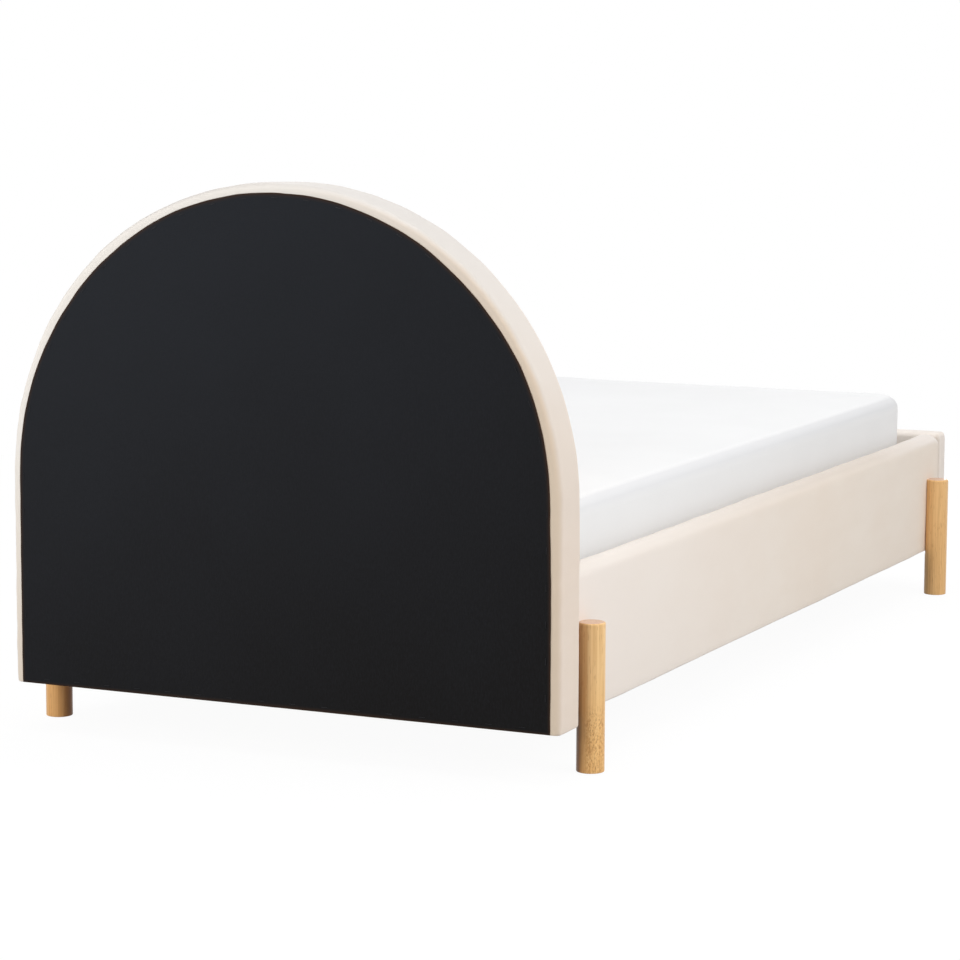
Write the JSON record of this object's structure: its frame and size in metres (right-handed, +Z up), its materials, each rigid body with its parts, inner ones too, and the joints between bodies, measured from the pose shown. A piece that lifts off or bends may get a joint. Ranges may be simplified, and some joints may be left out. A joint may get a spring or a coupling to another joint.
{
  "type": "upholstered single bed",
  "caption": "Upholstered single bed with an arched padded headboard, velvet side rails and footboard, round wooden legs, a slat base and a plain mattress.",
  "frame": {"origin": "middle of the bed's footprint, on the floor", "axes": "+X to the right as seen by someone at the foot end who looks at the headboard, +Y from the foot end to the headboard, +Z up"},
  "size_m": [1.071, 2.172, 0.9599],
  "materials": {
    "velvet": "short-pile velvet, soft sheen",
    "back_cloth": "matte non-woven cloth",
    "staple_steel": "dark wire",
    "foam": "open-cell foam",
    "timber": "planed softwood",
    "board": "raw particle board",
    "leg_wood": "satin clear lacquer",
    "slat_wood": "birch, sanded",
    "frame_steel": "satin powder coat",
    "fastener_steel": "zinc plated",
    "nut_brass": "passivated",
    "plastic": "moulded, matte",
    "mattress_cloth": "white knitted cover",
    "mattress_foam": "foam block"
  },
  "bodies": {
    "frame": {"headboard_arch_ribs": "timber", "headboard_stile_left": "timber", "headboard_stile_right": "timber", "headboard_centre_stile": "timber", "headboard_bottom_rail": "timber", "headboard_cross_rails": "timber", "headboard_front_panel": "board", "headboard_block_left": "timber", "headboard_block_right": "timber", "headboard_front_foam": "foam", "headboard_edge_foam": "foam", "headboard_cover": "velvet", "headboard_back_cloth": "back_cloth", "back_cloth_staples": "staple_steel", "side_rail_board_left": "board", "side_rail_board_right": "board", "side_rail_foam_left": "foam", "side_rail_foam_right": "foam", "side_rail_cover_left": "velvet", "side_rail_cover_right": "velvet", "footboard_board": "board", "footboard_foam": "foam", "footboard_cover": "velvet", "slat_ledge_left": "timber", "slat_ledge_right": "timber", "ledge_screws": "fastener_steel", "bracket_head_left": "frame_steel", "bracket_head_right": "frame_steel", "bracket_foot_left": "frame_steel", "bracket_foot_right": "frame_steel", "bracket_screws": "fastener_steel", "headboard_bolts": "fastener_steel", "headboard_tee_nuts": "fastener_steel", "footboard_bolts": "fastener_steel", "footboard_insert_nuts": "nut_brass", "bolt_washers": "fastener_steel", "leg_head_left": "leg_wood", "leg_head_right": "leg_wood", "leg_foot_left": "leg_wood", "leg_foot_right": "leg_wood", "leg_bolts": "fastener_steel", "leg_insert_nuts": "nut_brass"},
    "slat_base": {"slat_tube_left": "frame_steel", "slat_tube_right": "frame_steel", "slat_tube_head": "frame_steel", "slat_tube_foot": "frame_steel", "tube_end_plugs": "plastic", "slats": "slat_wood", "slat_holders": "plastic"},
    "mattress": {"mattress_core": "mattress_foam", "mattress_cover": "mattress_cloth"}
  },
  "joints": [
    {"name": "slat_base_lift", "type": "slide", "parent": "frame", "child": "slat_base", "axis": [0, 0, 1], "range_m": [0, 0.75]},
    {"name": "mattress_lift", "type": "slide", "parent": "slat_base", "child": "mattress", "axis": [0, 0, 1], "range_m": [0, 0.75]}
  ]
}
